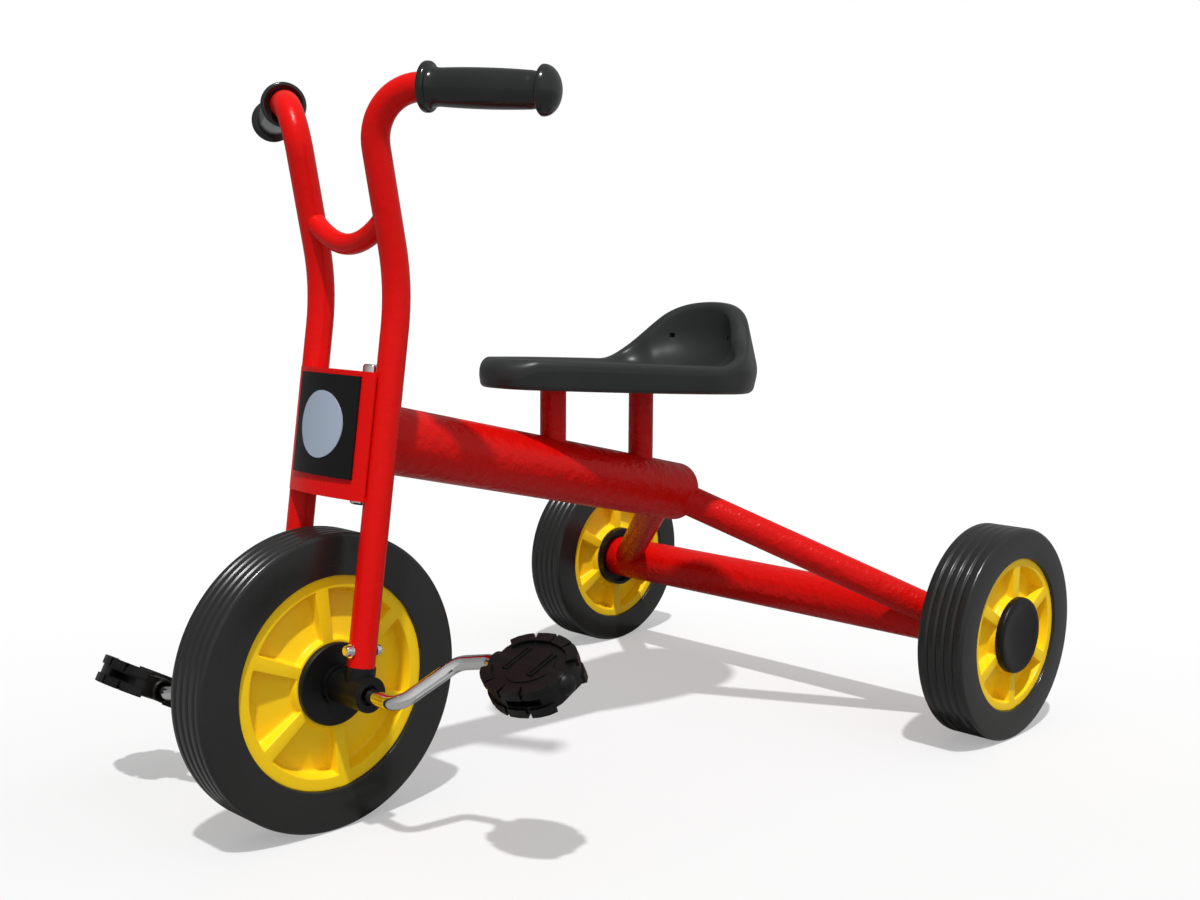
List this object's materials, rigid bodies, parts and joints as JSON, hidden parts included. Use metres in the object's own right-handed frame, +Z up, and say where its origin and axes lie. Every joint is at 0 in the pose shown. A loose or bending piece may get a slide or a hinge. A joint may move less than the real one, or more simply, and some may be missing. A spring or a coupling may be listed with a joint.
{
  "type": "toddler tricycle",
  "caption": "Pedal tricycle for small children: red welded tube frame, upright steering fork with swept bars, pedals on the front wheel, moulded seat and spoked plastic wheels.",
  "frame": {"origin": "on the ground, below the middle of the tricycle's bounding box", "axes": "+X forward, towards the front wheel; +Y to the rider's left; +Z up"},
  "size_m": [0.8486, 0.6026, 0.6196],
  "materials": {
    "red_paint": "glossy powder coat with a slight orange peel",
    "yellow_plastic": "moulded, satin gloss",
    "tyre_rubber": "smooth black rubber",
    "black_plastic": "moulded, fine grain",
    "seat_plastic": "moulded, satin",
    "grip_rubber": "smooth, slightly glossy",
    "chrome": "polished",
    "steel": "zinc plated",
    "grey_disc": "flat grey-blue"
  },
  "bodies": {
    "frame": {"main_beam": "red_paint", "head_tube": "red_paint", "head_bush_bottom": "black_plastic", "head_bush_top": "black_plastic", "rear_axle_tube": "red_paint", "rear_axle_rod": "steel", "stay_left": "red_paint", "stay_right": "red_paint", "seat_post_front": "red_paint", "seat_post_rear": "red_paint", "seat_plate_front": "red_paint", "seat_plate_rear": "red_paint", "seat": "seat_plastic"},
    "fork": {"fork_leg_left": "red_paint", "fork_leg_right": "red_paint", "handlebar_brace": "red_paint", "head_front_plate": "red_paint", "head_shelf_bottom": "red_paint", "head_shelf_top": "red_paint", "steering_bolt": "chrome", "badge_panel": "black_plastic", "lamp_disc": "grey_disc", "grip_left": "grip_rubber", "grip_right": "grip_rubber", "bearing_housing_left": "black_plastic", "bearing_housing_right": "black_plastic", "clamp_bolt_left": "chrome", "clamp_bolt_right": "chrome"},
    "front_wheel": {"front_tyre": "tyre_rubber", "front_rim": "yellow_plastic", "front_hub_disc_left": "black_plastic", "front_hub_disc_right": "black_plastic", "crank_rod": "chrome"},
    "pedal_left": {"pedal_left": "black_plastic"},
    "pedal_right": {"pedal_right": "black_plastic"},
    "rear_wheel_left": {"rear_tyre_left": "tyre_rubber", "rear_rim_left": "yellow_plastic", "rear_cap_left": "black_plastic", "rear_disc_left": "black_plastic"},
    "rear_wheel_right": {"rear_tyre_right": "tyre_rubber", "rear_rim_right": "yellow_plastic", "rear_cap_right": "black_plastic", "rear_disc_right": "black_plastic"}
  },
  "joints": [
    {"name": "steer", "type": "hinge", "parent": "frame", "child": "fork", "pos_m": [0.2486, 0, 0.32004], "axis": [-0.1383, 0, 0.9904], "range_deg": [-45, 45]},
    {"name": "front_wheel_spin", "type": "hinge", "parent": "fork", "child": "front_wheel", "pos_m": [0.29925, 0, 0.125], "axis": [0, 1, 0], "continuous": true},
    {"name": "pedal_left_spin", "type": "hinge", "parent": "front_wheel", "child": "pedal_left", "pos_m": [0.24365, 0.193, 0.15828], "axis": [0, 1, 0], "continuous": true},
    {"name": "pedal_right_spin", "type": "hinge", "parent": "front_wheel", "child": "pedal_right", "pos_m": [0.35485, -0.193, 0.09172], "axis": [0, 1, 0], "continuous": true},
    {"name": "rear_left_spin", "type": "hinge", "parent": "frame", "child": "rear_wheel_left", "pos_m": [-0.31825, 0.2727, 0.106], "axis": [0, 1, 0], "continuous": true},
    {"name": "rear_right_spin", "type": "hinge", "parent": "frame", "child": "rear_wheel_right", "pos_m": [-0.31825, -0.2727, 0.106], "axis": [0, 1, 0], "continuous": true}
  ]
}
